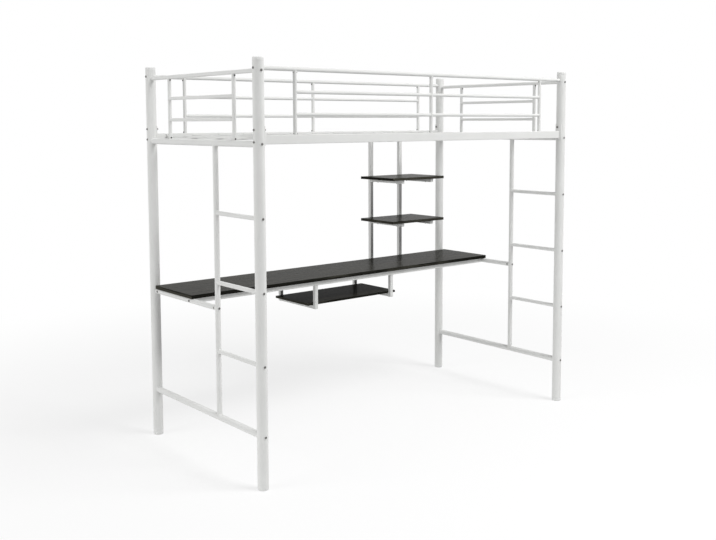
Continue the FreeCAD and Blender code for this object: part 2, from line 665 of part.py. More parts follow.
# Ladders: a stile between the end rails and rungs from the stile to the front post.
rung_plug_places = []
stile_bolt_places = []
for end, end_sign in ENDS:
    x = END_X[end]
    spot = (x, STILE_Y, "Sizes.bottom_rail_z")
    drill = through(f"stile_drill_{end}", "+y", (x, STILE_Y, "Sizes.desk_bar_z"), "Sizes.stile_dia",
                    BOLT_HOLE)
    rails = group(f"stile_cope_{end}",
                  [end_rail_solid["bottom_rail", end], end_rail_solid["end_bed_rail", end]])
    node(tube(f"ladder_stile_{end}", "+z", spot, stile_length, "Sizes.stile_dia", "Sizes.stile_wall",
              [rails, drill]))
    stile_bolt_places.append(("+y", x, f"{STILE_Y} - Sizes.stile_dia / 2", "Sizes.desk_bar_z"))
    cope = group(f"rung_cope_{end}", [post_solid["front", end], stile_solid[end]])
    for number, z in enumerate(RUNG_Z, start=1):
        spot = (x, SIDE_Y["front"], z)
        rung_length = "Sizes.post_span_y / 2 - Sizes.stile_forward"
        node(tube(f"rung_{end}_{number}", "+y", spot, rung_length, "Sizes.rung_dia", "Sizes.rung_wall",
                  [cope]))
        plug_y = f"{SIDE_Y['front']} + {POST_RADIUS} + Sizes.end_plug_setback"
        rung_plug_places.append(("+y", x, plug_y, z))

# Desk bars across each end, from the stile to the back post, and the two desk rails bolted between them.
RAIL_ROWS = (("front", FRONT_RAIL_Y), ("back", BACK_RAIL_Y))
desk_plug_places = []
desk_rail_bolt_places = []
barrels = []
for end, end_sign in ENDS:
    x = END_X[end]
    drills = []
    for row_name, y in RAIL_ROWS:
        spot = (x, y, "Sizes.desk_bar_z")
        drills.append(through(f"desk_bar_drill_{end}_{row_name}", "+x", spot, "Sizes.desk_bar_dia",
                              BOLT_HOLE))
        seat_x = f"{x} + {end_sign} * Sizes.desk_bar_dia / 2"
        desk_rail_bolt_places.append(("+x" if end_sign < 0 else "-x", seat_x, y, "Sizes.desk_bar_z"))
    barrel_y = f"{STILE_Y} + Sizes.stile_dia / 2 + Sizes.barrel_inset"
    barrel_spot = (x, barrel_y, "Sizes.desk_bar_z")
    barrel_hole = "Sizes.barrel_dia + 2 * Sizes.hole_clearance"
    drills.append(through(f"desk_bar_barrel_{end}", "+x", barrel_spot, "Sizes.desk_bar_dia", barrel_hole))
    spot = (x, STILE_Y, "Sizes.desk_bar_z")
    cope = group(f"desk_bar_cope_{end}", [stile_solid[end], post_solid["back", end]])
    holes = group(f"desk_bar_holes_{end}", drills)
    node(tube(f"desk_end_bar_{end}", "+y", spot, bar_length, "Sizes.desk_bar_dia", "Sizes.desk_bar_wall",
              [cope, holes]))
    low = (f"{x} - Sizes.desk_bar_dia / 2", barrel_y, "Sizes.desk_bar_z")
    pin = rod(f"barrel_pin_{end}", "+x", low, "Sizes.desk_bar_dia", "Sizes.barrel_dia")
    tap = through(f"barrel_tap_{end}", "+y", barrel_spot, "Sizes.barrel_dia", BOLT_HOLE)
    barrels.append(cut(f"barrel_{end}", pin, [tap]))
    plug_y = f"{SIDE_Y['back']} - ({POST_RADIUS} + Sizes.end_plug_setback)"
    desk_plug_places.append(("-y", x, plug_y, "Sizes.desk_bar_z"))
node(group("barrel_nuts", barrels))

hanger_bolt_places = []
desk_screw_places = []
desk_pilots = []
rail_plugs = []
for row_name, y in RAIL_ROWS:
    name = f"desk_{row_name}_rail"
    reach = "Sizes.desk_bar_dia / 2 - Sizes.desk_rail_cope"
    spot = (f"{END_X['left']} + {reach}", y, DESK_RAIL_Z)
    stock = box_tube(f"{name}_stock", "+x", spot, f"{SPAN_X} - 2 * ({reach})", "Sizes.desk_rail_size",
                     "Sizes.desk_rail_size", "Sizes.desk_rail_wall", "Sizes.desk_rail_corner")
    drills = []
    for number, share in enumerate(DESK_SCREW_SHARES):
        x = f"{share} * {DESK_LENGTH}"
        drills.append(through(f"{name}_screw_{number}", "+z", (x, y, DESK_RAIL_Z), "Sizes.desk_rail_size",
                              SCREW_HOLE))
        desk_screw_places.append(("+z", x, y, DESK_RAIL_UNDER))
        desk_pilots.append(rod(f"{name}_pilot_{number}", "+z", (x, y, DESK_UNDER), "Sizes.screw_bite",
                               SCREW_HOLE))
    wells = []
    for end, end_sign in ENDS:
        x = HANGER_X[end]
        drills.append(rod(f"{name}_hanger_{end}", "+z", (x, y, f"{DESK_RAIL_UNDER} - {OVERRUN}"),
                          f"{OVERRUN} + Sizes.desk_rail_size / 2", BOLT_HOLE))
        wells.append(rod(f"{name}_well_{end}", "+z", (x, y, DESK_RAIL_Z), "Sizes.desk_rail_size",
                         "Sizes.bolt_head_dia + 2 * Sizes.hole_clearance"))
        hanger_bolt_places.append(("-z", x, y, f"{DESK_RAIL_UNDER} + Sizes.desk_rail_wall"))
    if row_name == "back":
        for end, _ in ENDS:
            spot = (UPRIGHT_X[end], y, DESK_RAIL_Z)
            drills.append(through(f"{name}_upright_{end}", "+y", spot, "Sizes.desk_rail_size", BOLT_HOLE))
    cope = group(f"{name}_cope", [desk_bar_solid[e] for e, _ in ENDS])
    holes = group(f"{name}_holes", drills)
    node(cut(name, stock, [cope, holes, group(f"{name}_wells", wells)]))
    for end, end_sign in ENDS:
        setback = "Sizes.desk_bar_dia / 2 + Sizes.end_plug_setback"
        spot = (f"{END_X[end]} - {end_sign} * ({setback})", y, DESK_RAIL_Z)
        bolt_spot = (END_X[end], y, "Sizes.desk_bar_z")
        tap = through(f"{name}_tap_{end}", "+x", bolt_spot, "4 * Sizes.end_plug_len", BOLT_HOLE)
        inward = "+x" if end_sign < 0 else "-x"
        rail_plugs.append(square_plug(f"{name}_plug_{end}", inward, spot, "Sizes.desk_rail_size",
                                      "Sizes.desk_rail_wall", "Sizes.end_plug_len", [tap]))

# Desk top, resting on the desk bars and rails.
desk_spot = ("0", f"{BOARD_BACK} - Sizes.desk_depth / 2", DESK_UNDER)
desk_blank = board("desk_blank", desk_spot, DESK_LENGTH, "Sizes.desk_depth", "Sizes.desk_thick")
node(cut("desk_top", desk_blank, [group("desk_pilots", desk_pilots)]))

# Shelf uprights between the desk's back rail and the back side rail, with an arm under each shelf.
upright_low_places = []
upright_high_places = []
upright_nut_places = []
shelf_screw_places = []
shelf_pilots = [[] for _ in range(SHELF_COUNT)]
tube_plugs = []
ARM_FRONT = f"{BOARD_BACK} - Sizes.shelf_depth + Sizes.arm_inset"
ARM_LENGTH = f"{UPRIGHT_FRONT} - ({ARM_FRONT})"
for end, _ in ENDS:
    x = UPRIGHT_X[end]
    name = f"shelf_upright_{end}"
    upright_length = f"{UPRIGHT_TOP} - ({DESK_RAIL_UNDER})"
    stock = box_tube(f"{name}_stock", "+z", (x, UPRIGHT_Y, DESK_RAIL_UNDER), upright_length,
                     "Sizes.upright_size", "Sizes.upright_size", "Sizes.upright_wall",
                     "Sizes.upright_corner")
    top_bolt_z = f"{UPRIGHT_TOP} - Sizes.upright_bolt_edge"
    drills = []
    for number, z in enumerate((DESK_RAIL_Z, top_bolt_z)):
        drills.append(through(f"{name}_drill_{number}", "+y", (x, UPRIGHT_Y, z), "Sizes.upright_size",
                              BOLT_HOLE))
    upright_low_places.append(("-y", x, RAIL_FACE, DESK_RAIL_Z))
    upright_high_places.append(("+y", x, UPRIGHT_FRONT, top_bolt_z))
    upright_nut_places.append(("-y", x, f"{UPRIGHT_FRONT} - Sizes.desk_rail_size", DESK_RAIL_Z))
    upright_nut_places.append(("+y", x, f"{RAIL_FACE} + Sizes.side_rail_wide", top_bolt_z))
    drill_group = group(f"{name}_drills", drills)
    pieces = [cut(f"{name}_tube", stock, [drill_group])]
    for number, z in enumerate(SHELF_TOP):
        shelf_under = f"{z} - Sizes.shelf_thick"
        arm_z = f"{shelf_under} - Sizes.arm_size / 2"
        arm = box_tube(f"{name}_arm_stock_{number + 1}", "+y", (x, ARM_FRONT, arm_z), ARM_LENGTH,
                       "Sizes.arm_size", "Sizes.arm_size", "Sizes.arm_wall", "Sizes.arm_corner")
        holes = []
        for mark, share in enumerate(ARM_SCREW_SHARES):
            y = f"{ARM_FRONT} + {share} * ({ARM_LENGTH})"
            holes.append(through(f"{name}_arm_{number + 1}_hole_{mark}", "+z", (x, y, arm_z),
                                 "Sizes.arm_size", SCREW_HOLE))
            shelf_screw_places.append(("+z", x, y, f"{shelf_under} - Sizes.arm_size"))
            shelf_pilots[number].append(rod(f"{name}_pilot_{number + 1}_{mark}", "+z", (x, y, shelf_under),
                                            "Sizes.screw_bite", SCREW_HOLE))
        pieces.append(cut(f"{name}_arm_{number + 1}", arm,
                          [group(f"{name}_arm_holes_{number + 1}", holes)]))
        tube_plugs.append(square_plug(f"{name}_arm_plug_{number + 1}", "+y", (x, ARM_FRONT, arm_z),
                                      "Sizes.arm_size", "Sizes.arm_wall", "Sizes.square_plug_len"))
    node(group(name, pieces))
    upright_ends = (("+z", DESK_RAIL_UNDER), ("-z", UPRIGHT_TOP))
    for number, (turn, z) in enumerate(upright_ends):
        tube_plugs.append(square_plug(f"{name}_plug_{number}", turn, (x, UPRIGHT_Y, z), "Sizes.upright_size",
                                      "Sizes.upright_wall", "Sizes.square_plug_len", [drill_group]))
shelf_y = f"{BOARD_BACK} - Sizes.shelf_depth / 2"
for number, name in enumerate(("shelf_lower", "shelf_upper")):
    spot = (SHELF_X, shelf_y, f"{SHELF_TOP[number]} - Sizes.shelf_thick")
    blank = board(f"{name}_blank", spot, "Sizes.shelf_length", "Sizes.shelf_depth", "Sizes.shelf_thick")
    node(cut(name, blank, [group(f"{name}_pilots", shelf_pilots[number])]))

# Tray hangers: two legs under the desk rails with a bar between them that carries the keyboard tray.
HANGER_BAY = f"{BACK_RAIL_Y} - ({FRONT_RAIL_Y}) - Sizes.hanger_size"
TRAY_Y = f"({BACK_RAIL_Y} + {FRONT_RAIL_Y}) / 2"
tray_screw_places = []
tray_pilots = []
leg_plugs = []
for end, _ in ENDS:
    x = HANGER_X[end]
    name = f"tray_hanger_{end}"
    section = ("Sizes.hanger_size", "Sizes.hanger_size", "Sizes.hanger_wall", "Sizes.hanger_corner")
    pieces = []
    for row_name, y in RAIL_ROWS:
        leg_length = "Sizes.tray_drop + Sizes.hanger_size"
        pieces.append(box_tube(f"{name}_{row_name}_leg", "+z", (x, y, HANGER_UNDER), leg_length, *section))
        tap = through(f"{name}_{row_name}_tap", "+z", (x, y, DESK_RAIL_UNDER), "4 * Sizes.end_plug_len",
                      BOLT_HOLE)
        leg_plugs.append(square_plug(f"{name}_{row_name}_top_plug", "-z", (x, y, DESK_RAIL_UNDER),
                                     "Sizes.hanger_size", "Sizes.hanger_wall", "Sizes.end_plug_len", [tap]))
        tube_plugs.append(square_plug(f"{name}_{row_name}_foot_plug", "+z", (x, y, HANGER_UNDER),
                                      "Sizes.hanger_size", "Sizes.hanger_wall", "Sizes.square_plug_len"))
    bar_z = f"{TRAY_UNDER} - Sizes.hanger_size / 2"
    spot = (x, f"{FRONT_RAIL_Y} + Sizes.hanger_size / 2", bar_z)
    bar = box_tube(f"{name}_bar_stock", "+y", spot, HANGER_BAY, *section)
    holes = []
    for mark, share in enumerate(TRAY_SCREW_SHARES):
        y = f"{TRAY_Y} + {share} * ({HANGER_BAY})"
        holes.append(through(f"{name}_hole_{mark}", "+z", (x, y, bar_z), "Sizes.hanger_size", SCREW_HOLE))
        tray_screw_places.append(("+z", x, y, HANGER_UNDER))
        tray_pilots.append(rod(f"{name}_pilot_{mark}", "+z", (x, y, TRAY_UNDER), "Sizes.screw_bite",
                               SCREW_HOLE))
    pieces.append(cut(f"{name}_bar", bar, [group(f"{name}_holes", holes)]))
    node(group(name, pieces))
tray_blank = board("tray_blank", ("0", TRAY_Y, TRAY_UNDER), "Sizes.tray_length",
                   f"{HANGER_BAY} - 2 * Sizes.board_gap", "Sizes.tray_thick")
node(cut("keyboard_tray", tray_blank, [group("tray_pilots", tray_pilots)]))

# Slats across the bed on L-shaped seats welded to the side rails.
slat_end = f"{RAIL_FACE} - Sizes.seat_thick - Sizes.slat_gap"
slat_z = f"{SEAT_UNDER} + Sizes.seat_thick + Sizes.slat_tall / 2"
slat_stock = box_tube("slat_stock", "+y", ("0", f"-({slat_end})", "0"), f"2 * ({slat_end})",
                      "Sizes.slat_wide", "Sizes.slat_tall", "Sizes.slat_wall", "Sizes.slat_corner")
slat_screw_y = f"{RAIL_FACE} - Sizes.seat_thick / 2 - Sizes.seat_depth / 2"
slat_drills = []
for side, side_sign in SIDES:
    low = ("0", f"{side_sign} * ({slat_screw_y})", "-Sizes.slat_tall")
    slat_drills.append(rod(f"slat_drill_{side}", "+z", low, "Sizes.slat_tall", SCREW_HOLE))
slat = cut("slat_master", slat_stock, [group("slat_drills", slat_drills)])
seat_box = block("seat_box", ("-Sizes.slat_wide / 2", "0", "0"),
                 ("Sizes.slat_wide", "Sizes.seat_depth", "Sizes.seat_tall"))
seat_notch = block("seat_notch",
                   (f"-Sizes.slat_wide / 2 - {OVERRUN}", "Sizes.seat_thick", "Sizes.seat_thick"),
                   (f"Sizes.slat_wide + 2 * {OVERRUN}", "Sizes.seat_depth", "Sizes.seat_tall"))
seat_middle = "Sizes.seat_thick / 2 + Sizes.seat_depth / 2"
seat_drill = through("seat_drill", "+z", ("0", seat_middle, "0"), "2 * Sizes.seat_thick", SCREW_HOLE)
seat = cut("seat_master", seat_box, [seat_notch, seat_drill])
slat_places = []
seat_places = []
slat_screw_places = []
for number in range(SLAT_COUNT):
    x = f"{SLAT_SPAN} * {number} / {SLAT_COUNT - 1} - {SLAT_SPAN} / 2"
    slat_places.append(("+z", x, "0", slat_z))
    for side, side_sign in SIDES:
        turn = "+z" if side_sign < 0 else "half"
        seat_places.append((turn, x, f"{side_sign} * ({RAIL_FACE})", SEAT_UNDER))
        slat_screw_places.append(("+z", x, f"{side_sign} * ({slat_screw_y})", SEAT_UNDER))
copies("slats", slat, slat_places)
copies("slat_seats", seat, seat_places)

# Bolts, nuts and plugs of the frame.
post_bolt = fastener("post_bolt_master", "bolt", "Sizes.post_dia + Sizes.thread_reach")
post_bolts = links_of("post_bolt", post_bolt, post_bolt_places)
desk_bar_bolt = fastener("desk_bar_bolt_master", "bolt", f"Sizes.post_dia + {DESK_BAR_REACH}")
post_bolts += links_of("desk_bar_bolt", desk_bar_bolt, desk_bar_bolt_places)
node(group("post_bolts", post_bolts))
saddle_length = "Sizes.post_dia + Sizes.saddle_thick + Sizes.nut_tall + Sizes.bolt_stub"
copies("saddle_bolts", fastener("saddle_bolt_master", "bolt", saddle_length), saddle_bolt_places)
nut_blank = doc.addObject("Part::Prism", "nut_blank")
nut_blank.Polygon = HEX_SIDES
nut_blank.setExpression("Circumradius", "Sizes.nut_flats / sqrt(3)")
nut_blank.setExpression("Height", "Sizes.nut_tall")
nut_bore = rod("nut_bore", "+z", ("0", "0", "0"), "Sizes.nut_tall", BOLT_HOLE)
nut = cut("nut_master", nut_blank, [nut_bore])
copies("hex_nuts", nut, saddle_nut_places + upright_nut_places)
round_plugs = []
plug_kinds = (("guard_rail", "Sizes.end_plug_len", top_plug_places),
              ("end_rail", "Sizes.end_plug_len", end_plug_places),
              ("rung", "Sizes.end_plug_len", rung_plug_places),
              ("desk_bar", f"{DESK_BAR_REACH} - Sizes.end_plug_setback", desk_plug_places))
for kind, length, places in plug_kinds:
    bore = f"Sizes.{kind}_dia - 2 * Sizes.{kind}_wall"
    round_plugs += links_of(f"{kind}_plug", end_plug(f"{kind}_plug_master", bore, length), places)
node(group("round_tube_plugs", round_plugs))
node(group("threaded_square_plugs", rail_plugs + leg_plugs))
node(group("square_tube_plugs", tube_plugs))

# Bolts and screws of the guards, desk, shelves, tray and slats.
stile_length_bolt = "Sizes.stile_dia + Sizes.barrel_inset + Sizes.barrel_dia / 2"
copies("stile_bolts", fastener("stile_bolt_master", "bolt", stile_length_bolt), stile_bolt_places)
rail_bolt_length = "Sizes.desk_bar_dia + Sizes.thread_reach"
copies("desk_rail_bolts", fastener("rail_bolt_master", "bolt", rail_bolt_length), desk_rail_bolt_places)
low_length = "Sizes.upright_size + Sizes.desk_rail_size + Sizes.nut_tall + Sizes.bolt_stub"
high_length = "Sizes.upright_size + Sizes.side_rail_wide + Sizes.nut_tall + Sizes.bolt_stub"
upright_bolts = links_of("foot_bolt", fastener("foot_bolt_master", "bolt", low_length), upright_low_places)
upright_bolts += links_of("head_bolt", fastener("head_bolt_master", "bolt", high_length),
                          upright_high_places)
node(group("upright_bolts", upright_bolts))
hanger_bolt_length = "Sizes.desk_rail_wall + Sizes.thread_reach"
copies("hanger_bolts", fastener("hanger_bolt_master", "bolt", hanger_bolt_length), hanger_bolt_places)
copies("guard_screws", fastener("guard_screw_master", "screw", "Sizes.guard_post_dia"), guard_screw_places)
board_screws = []
screw_kinds = (("desk_rail", desk_screw_places), ("arm", shelf_screw_places), ("hanger", tray_screw_places))
for kind, places in screw_kinds:
    screw = fastener(f"{kind}_screw_master", "screw", f"Sizes.{kind}_size + Sizes.screw_bite")
    board_screws += links_of(f"{kind}_screw", screw, places)
node(group("board_screws", board_screws))
slat_screw_length = "Sizes.seat_thick + Sizes.slat_wall + Sizes.slat_screw_stub"
copies("slat_screws", fastener("slat_screw_master", "screw", slat_screw_length), slat_screw_places)

doc.recompute()

failed = [item.Name for item in doc.Objects if "Invalid" in item.State or "Error" in item.State]
if failed:
    raise RuntimeError(f"objects that failed: {failed}")
for item in nodes:
    if item.Shape.isNull() or not item.Shape.isValid() or not item.Shape.Solids:
        raise RuntimeError(f"bad shape: {item.Label}")

os.makedirs("parts", exist_ok=True)
for item in nodes:
    item.Shape.exportStep(f"parts/{item.Label}.step")
    print(item.Label, len(item.Shape.Solids), round(item.Shape.Volume))
print("nodes", len(nodes))
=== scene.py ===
import math

import bmesh
import bpy
from mathutils import Matrix, Vector


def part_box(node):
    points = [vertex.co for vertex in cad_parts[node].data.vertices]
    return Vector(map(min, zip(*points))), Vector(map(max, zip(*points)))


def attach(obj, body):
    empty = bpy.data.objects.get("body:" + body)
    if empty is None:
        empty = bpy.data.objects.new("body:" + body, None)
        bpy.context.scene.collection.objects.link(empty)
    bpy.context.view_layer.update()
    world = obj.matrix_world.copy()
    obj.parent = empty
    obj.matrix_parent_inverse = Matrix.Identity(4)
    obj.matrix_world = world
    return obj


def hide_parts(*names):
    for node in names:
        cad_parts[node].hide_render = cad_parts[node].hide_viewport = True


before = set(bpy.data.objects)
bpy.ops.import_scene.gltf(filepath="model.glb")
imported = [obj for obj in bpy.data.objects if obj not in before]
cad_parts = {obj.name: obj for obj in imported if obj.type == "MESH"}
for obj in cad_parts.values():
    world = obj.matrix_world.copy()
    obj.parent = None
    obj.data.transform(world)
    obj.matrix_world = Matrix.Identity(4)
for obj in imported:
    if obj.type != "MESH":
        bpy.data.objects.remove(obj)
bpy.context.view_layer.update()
scene = bpy.context.scene

# Posts: four round steel tubes, 50 mm across, one at each corner of the bed. They are cut to length, drilled
# across for the rail bolts and powder coated white, like every tube here.
MM = 0.001
posts = ("post_front_left", "post_front_right", "post_back_left", "post_back_right")
coat_pale = (0.754, 0.757, 0.745, 1)
coat_deep = (0.714, 0.718, 0.704, 1)


def put(tree, kind, inputs=None, **settings):
    """Adds a node. Settings are its properties, and inputs its sockets, each with a value or an output."""
    made = tree.nodes.new(kind)
    for label, value in settings.items():
        setattr(made, label, value)
    for label, value in (inputs or {}).items():
        if isinstance(value, bpy.types.NodeSocket):
            tree.links.new(value, made.inputs[label])
        else:
            made.inputs[label].default_value = value
    return made


def start_finish(name):
    """A new material, with its tree, its shader and the place on the piece that its patterns read."""
    finish = bpy.data.materials.new(name)
    finish.use_nodes = True
    tree = finish.node_tree
    return finish, tree, tree.nodes["Principled BSDF"], put(tree, "ShaderNodeTexCoord").outputs["Object"]


def two_tone(tree, fac, dark, light, low=0.3, high=0.7):
    """A ramp between two colours, as a colour output."""
    ramp = put(tree, "ShaderNodeValToRGB", {"Fac": fac})
    for stop, position, colour in zip(ramp.color_ramp.elements, (low, high), (dark, light)):
        stop.position = position
        stop.color = colour
    return ramp.outputs["Color"]


def spread(tree, fac, low, high):
    """A pattern turned into numbers from low to high."""
    return put(tree, "ShaderNodeMapRange", {"Value": fac, "To Min": low, "To Max": high}).outputs["Result"]


def dress(finish, *names):
    """Gives CAD nodes a finish in place of the plain one they come with."""
    for name in names:
        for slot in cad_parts[name].material_slots:
            slot.material = finish


powder_coat, tree, shader, place = start_finish("white_powder_coat")
drift = put(tree, "ShaderNodeTexNoise", {"Vector": place, "Scale": 6.0, "Detail": 3.0}).outputs["Fac"]
peel = put(tree, "ShaderNodeTexNoise", {"Vector": place, "Scale": 620.0, "Detail": 2.0}).outputs["Fac"]
smear = put(tree, "ShaderNodeTexNoise", {"Vector": place, "Scale": 55.0, "Detail": 4.0}).outputs["Fac"]
dimple = put(tree, "ShaderNodeBump", {"Height": peel, "Strength": 0.10, "Distance": 0.3 * MM})
tree.links.new(two_tone(tree, drift, coat_deep, coat_pale), shader.inputs["Base Color"])
tree.links.new(spread(tree, smear, 0.34, 0.48), shader.inputs["Roughness"])
shader.inputs["Specular IOR Level"].default_value = 0.35
tree.links.new(dimple.outputs["Normal"], shader.inputs["Normal"])
dress(powder_coat, *posts)

# Post caps: a white moulded plastic cap is pressed into the top of each post and another makes its foot.
# The collar is as wide as the tube, so only a fine seam shows, and the hollow plug behind it grips the bore.
cap_pale = (0.762, 0.765, 0.755, 1)
cap_deep = (0.722, 0.726, 0.714, 1)
cap_sides = 72
collar, plug, plug_bore = 25, 23.3, 21.3
plug_end = 22.4
collar_rim = 24.4


def arc(centre, across, up, start, end, steps):
    """Points (radius, height) in mm on an oval about a centre, from one angle in degrees to another."""
    angles = [math.radians(start + (end - start) * k / steps) for k in range(steps + 1)]
    return [(centre[0] + across * math.cos(angle), centre[1] + up * math.sin(angle)) for angle in angles]


top_cap = (
    (0, 15.3), (1.7, 15.3), *arc((0, -258), 274, 274, 89.5, 85.6, 3), *arc((19.8, 10), 5.2, 5.2, 70, 0, 6),
    (collar, 0.8), (collar_rim, 0), (plug, 0), (plug, -19), (plug_end, -20), (plug_bore, -20),
    (plug_bore, 11.5), (0, 11.5),
)
foot_cap = (
    (0, 1.4), (13, 1.4), (15, 0), *arc((21.2, 3.8), 3.8, 3.8, -90, 0, 5), (collar, 21.2), (collar_rim, 22),
    (plug, 22), (plug, 41), (plug_end, 42), (plug_bore, 42), (plug_bore, 5), (0, 5),
)


def turned(work, profile, sides, centre=(0, 0, 0)):
    """Turns a profile of (radius, height) in mm round Z; a third entry bends that ring to another outline."""
    rings = []
    for radius, height, *outline in profile:
        ring = []
        for k in range(sides if radius else 1):
            angle = math.tau * k / sides
            reach = radius * MM * (outline[0](angle) if outline else 1)
            spot = Vector((reach * math.cos(angle), reach * math.sin(angle), height * MM))
            ring.append(work.verts.new(spot + Vector(centre)))
        rings.append(ring)
    for one, two in zip(rings, rings[1:]):
        for k in range(sides):
            corners = [one[k % len(one)], one[(k + 1) % len(one)], two[(k + 1) % len(two)], two[k % len(two)]]
            work.faces.new(list(dict.fromkeys(corners)))


def piece_of(name, work, finish, crease=35):
    """Closes a bmesh as an object at the origin, smooth but for its creases, with one finish."""
    bmesh.ops.recalc_face_normals(work, faces=work.faces)
    mesh = bpy.data.meshes.new(name)
    work.to_mesh(mesh)
    work.free()
    mesh.polygons.foreach_set("use_smooth", [True] * len(mesh.polygons))
    mesh.set_sharp_from_angle(angle=math.radians(crease))
    mesh.materials.append(finish)
    piece = bpy.data.objects.new(name, mesh)
    scene.collection.objects.link(piece)
    return piece


cap_plastic, tree, shader, place = start_finish("white_cap_plastic")
drift = put(tree, "ShaderNodeTexNoise", {"Vector": place, "Scale": 35.0, "Detail": 2.0}).outputs["Fac"]
spark = put(tree, "ShaderNodeTexNoise", {"Vector": place, "Scale": 1500.0, "Detail": 1.0}).outputs["Fac"]
grain = put(tree, "ShaderNodeBump", {"Height": spark, "Strength": 0.18, "Distance": 0.1 * MM})
tree.links.new(two_tone(tree, drift, cap_deep, cap_pale), shader.inputs["Base Color"])
tree.links.new(spread(tree, spark, 0.42, 0.58), shader.inputs["Roughness"])
tree.links.new(grain.outputs["Normal"], shader.inputs["Normal"])
cap_rows = (
    ("post_top_caps", top_cap, "top_caps"),
    ("post_foot_caps", foot_cap, "foot_caps"),
)
for name, profile, node in cap_rows:
    work = bmesh.new()
    for post in posts:
        low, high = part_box(post)
        seat = high.z if profile is top_cap else 0
        turned(work, profile, cap_sides, ((low.x + high.x) / 2, (low.y + high.y) / 2, seat))
    caps = piece_of(name, work, cap_plastic)
    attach(caps, "root")
    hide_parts(node)

# End frames: three round steel tubes tie the front and back post at each end, a thick one near the floor,
# one under the bed and a thin one above the guard. A bolt through each post pulls on a plug in the tube.
dress(powder_coat, "end_bed_rail_left", "end_bed_rail_right", "bottom_rail_left", "bottom_rail_right")
dress(powder_coat, "end_top_rail_left", "end_top_rail_right")

# Ladders: a round stile stands between the two thick rails of each end frame, with three thinner rungs from
# it to the front post. Stile and rungs are coped and welded with a fine rippled bead before they are coated.
rung_numbers = (1, 2, 3)
bead_radius = 1.7 * MM
bead_sides = 8
ripple_length = 2.6 * MM
ripple_share = 0.13
points_per_ripple = 4
points_per_ring = 48
dress(powder_coat, "ladder_stile_left", "ladder_stile_right")
dress(powder_coat, *[f"rung_{end}_{number}" for end in ("left", "right") for number in rung_numbers])


def start_tree(name, **kinds):
    """A new geometry tree with named inputs, and its input and output nodes."""
    made = bpy.data.node_groups.new(name, "GeometryNodeTree")
    made.interface.new_socket("Geometry", in_out="INPUT", socket_type="NodeSocketGeometry")
    for label, kind in kinds.items():
        made.interface.new_socket(label.replace("_", " "), in_out="INPUT", socket_type=f"NodeSocket{kind}")
    made.interface.new_socket("Geometry", in_out="OUTPUT", socket_type="NodeSocketGeometry")
    given = made.nodes.new("NodeGroupInput").outputs
    result = made.nodes.new("NodeGroupOutput").inputs["Geometry"]
    return made, given, result


def sums(tree, work, *values):
    """One math node, as its output."""
    return put(tree, "ShaderNodeMath", dict(enumerate(values)), operation=work).outputs[0]


def end_tree(tree, geometry, finish, output):
    """Closes a tree: instances made real, one finish."""
    real = put(tree, "GeometryNodeRealizeInstances", {"Geometry": geometry}).outputs["Geometry"]
    coated = put(tree, "GeometryNodeSetMaterial", {"Geometry": real, "Material": finish})
    tree.links.new(coated.outputs["Geometry"], output)


def grown(name, source, tree, crease=None, **values):
    """Runs a geometry tree on a mesh and keeps the result as a plain smooth piece."""
    piece = bpy.data.objects.new(name, source)
    scene.collection.objects.link(piece)
    modifier = piece.modifiers.new(name, "NODES")
    modifier.node_group = tree
    for item in tree.interface.items_tree:
        label = item.name.replace(" ", "_")
        if item.in_out == "INPUT" and label in values:
            modifier[item.identifier] = values[label]
    seen = piece.evaluated_get(bpy.context.evaluated_depsgraph_get())
    mesh = bpy.data.meshes.new_from_object(seen)
    piece.modifiers.remove(modifier)
    piece.data = mesh
    mesh.polygons.foreach_set("use_smooth", [True] * len(mesh.polygons))
    if crease:
        mesh.set_sharp_from_angle(angle=math.radians(crease))
    return piece


weld_tree, given, result = start_tree(
    "weld_bead_on_a_path", Bead_radius="Float", Ripple_length="Float", Ripple_share="Float",
    Finish="Material")
seam = put(weld_tree, "GeometryNodeMeshToCurve", {"Mesh": given["Geometry"]}).outputs["Curve"]
step = sums(weld_tree, "DIVIDE", given["Ripple length"], points_per_ripple)
seam = put(weld_tree, "GeometryNodeResampleCurve", {"Curve": seam, "Length": step},
           mode="LENGTH").outputs["Curve"]
run = put(weld_tree, "GeometryNodeSplineParameter").outputs["Length"]
turns = sums(weld_tree, "DIVIDE", sums(weld_tree, "MULTIPLY", run, math.tau), given["Ripple length"])
wave = sums(weld_tree, "SINE", turns)
swell = sums(weld_tree, "MULTIPLY_ADD", wave, given["Ripple share"], 1.0)
seam = put(weld_tree, "GeometryNodeSetCurveRadius", {"Curve": seam, "Radius": swell}).outputs["Curve"]
wire = put(weld_tree, "GeometryNodeCurvePrimitiveCircle",
           {"Resolution": bead_sides, "Radius": given["Bead radius"]})
bead = put(weld_tree, "GeometryNodeCurveToMesh",
           {"Curve": seam, "Profile Curve": wire.outputs["Curve"], "Fill Caps": True})
end_tree(weld_tree, bead.outputs["Mesh"], given["Finish"], result)


def middle_and_half(node):
    """The middle and the half size of a CAD node's box, in mm to a hundredth."""
    low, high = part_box(node)
    middle = [round((a + b) / 2 / MM, 2) for a, b in zip(low, high)]
    half = [round((b - a) / 2 / MM, 2) for a, b in zip(low, high)]
    return Vector(middle), Vector(half)


def ring_seam(spot, out, along, branch, main):
    """The closed line where a round tube that leaves a main tube along out meets it; radii in mm."""
    out, along = Vector(out), Vector(along)
    side = out.cross(along)
    line = []
    for k in range(points_per_ring):
        angle = math.tau * k / points_per_ring
        reach, turn = branch * math.cos(angle), branch * math.sin(angle)
        lift = math.sqrt(main ** 2 - turn ** 2)
        line.append((Vector(spot) + reach * along + turn * side + lift * out) * MM)
    return line, True


